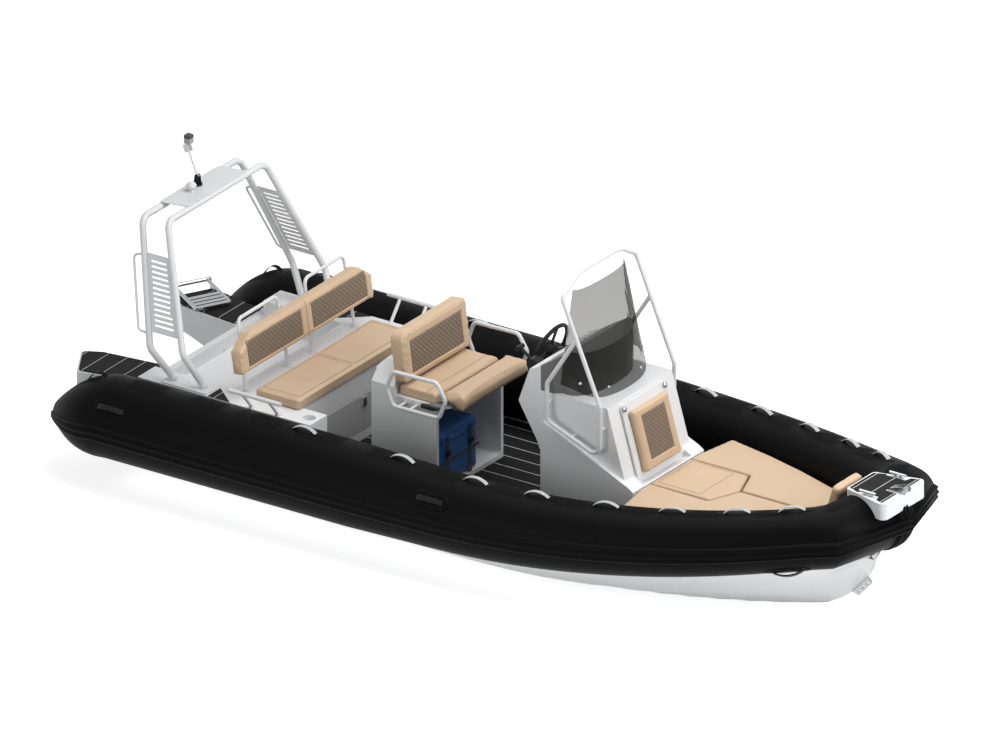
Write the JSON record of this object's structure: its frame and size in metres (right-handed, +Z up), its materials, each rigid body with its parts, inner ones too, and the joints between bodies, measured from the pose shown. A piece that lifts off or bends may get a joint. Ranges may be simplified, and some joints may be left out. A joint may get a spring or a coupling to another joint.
{
  "type": "rigid inflatable boat",
  "caption": "Rigid inflatable boat with air tubes, centre console, steering wheel, padded helm seat and stern bench, roll bar with light mast, swim platforms and a folding ladder.",
  "frame": {"origin": "on the waterline, on the centreline, about amidships", "axes": "+X forward to the bow, +Y to port, +Z up"},
  "size_m": [6.0278, 2.5318, 2.1843],
  "materials": {
    "painted_aluminium": "white satin paint with a light grain",
    "white_pipe": "white satin powder coat",
    "tube_fabric": "black coated fabric, satin",
    "foam_mat": "black closed-cell foam with pale cut lines",
    "upholstery": "tan marine upholstery, quilted insets",
    "steel": "polished",
    "grey_board": "pale grey",
    "webbing": "pale grey webbing",
    "black_webbing": "black webbing",
    "black_plastic": "black",
    "white_plastic": "white",
    "blue_plastic": "blue",
    "tinted_screen": "tinted grey"
  },
  "bodies": {
    "boat": {"hull": "painted_aluminium", "transom": "painted_aluminium", "side_deck_port": "painted_aluminium", "side_deck_starboard": "painted_aluminium", "well_floor": "painted_aluminium", "bench_locker": "painted_aluminium", "platform_port": "painted_aluminium", "platform_starboard": "painted_aluminium", "helm_pod": "painted_aluminium", "console": "painted_aluminium", "bow_locker": "painted_aluminium", "bow_step": "painted_aluminium", "roll_bar_plate": "painted_aluminium", "slotted_panels": "painted_aluminium", "side_rails": "white_pipe", "roll_bar": "white_pipe", "arm_loops": "white_pipe", "pod_handle": "white_pipe", "screen_frame": "white_pipe", "tube_port": "tube_fabric", "tube_starboard": "tube_fabric", "rub_strakes": "tube_fabric", "carry_handles": "tube_fabric", "deck_mat": "foam_mat", "platform_mats": "foam_mat", "bench_cushion": "upholstery", "bench_backrest": "upholstery", "helm_cushion": "upholstery", "helm_backrest": "upholstery", "bow_cushions": "upholstery", "bow_backrest": "upholstery", "bow_eye": "steel", "backrest_hoops": "steel", "ladder_brackets": "steel", "bolster_brackets": "steel", "bow_cleats": "steel", "bow_roller": "steel", "grab_straps": "webbing", "cooler_straps": "black_webbing", "mast_base": "black_plastic", "steering_column": "black_plastic", "throttle": "black_plastic", "antenna": "white_plastic", "cooler": "blue_plastic", "windscreen": "tinted_screen"},
    "wheel": {"steering_wheel": "black_plastic"},
    "bolster": {"helm_bolster": "upholstery"},
    "console_lid": {"console_door": "painted_aluminium", "console_pad": "upholstery"},
    "locker_lid": {"bench_door": "grey_board"},
    "boarding_ladder": {"ladder": "steel"},
    "mast": {"light_mast": "steel"}
  },
  "joints": [
    {"name": "steering_turn", "type": "hinge", "parent": "boat", "child": "wheel", "pos_m": [0.2737, 0, 1.182], "axis": [-0.9422, 0, 0.3351], "range_deg": [-540, 540]},
    {"name": "bolster_flip", "type": "hinge", "parent": "boat", "child": "bolster", "pos_m": [-0.31, 0, 0.829], "axis": [0, -1, 0], "range_deg": [0, 90]},
    {"name": "console_door_swing", "type": "hinge", "parent": "boat", "child": "console_lid", "pos_m": [1.0319, 0, 0.618], "axis": [0, 1, 0], "range_deg": [0, 45]},
    {"name": "locker_door_swing", "type": "hinge", "parent": "boat", "child": "locker_lid", "pos_m": [-1.296, 0, 0.23], "axis": [0, 1, 0], "range_deg": [0, 85]},
    {"name": "ladder_fold", "type": "hinge", "parent": "boat", "child": "boarding_ladder", "pos_m": [-2.98301, 0.6396, 0.602], "axis": [-0.4834, -0.8754, 0], "range_deg": [0, 255]},
    {"name": "mast_fold", "type": "hinge", "parent": "boat", "child": "mast", "pos_m": [-2.4891, 0, 1.70775], "axis": [0, -1, 0], "range_deg": [-23, 65]}
  ]
}
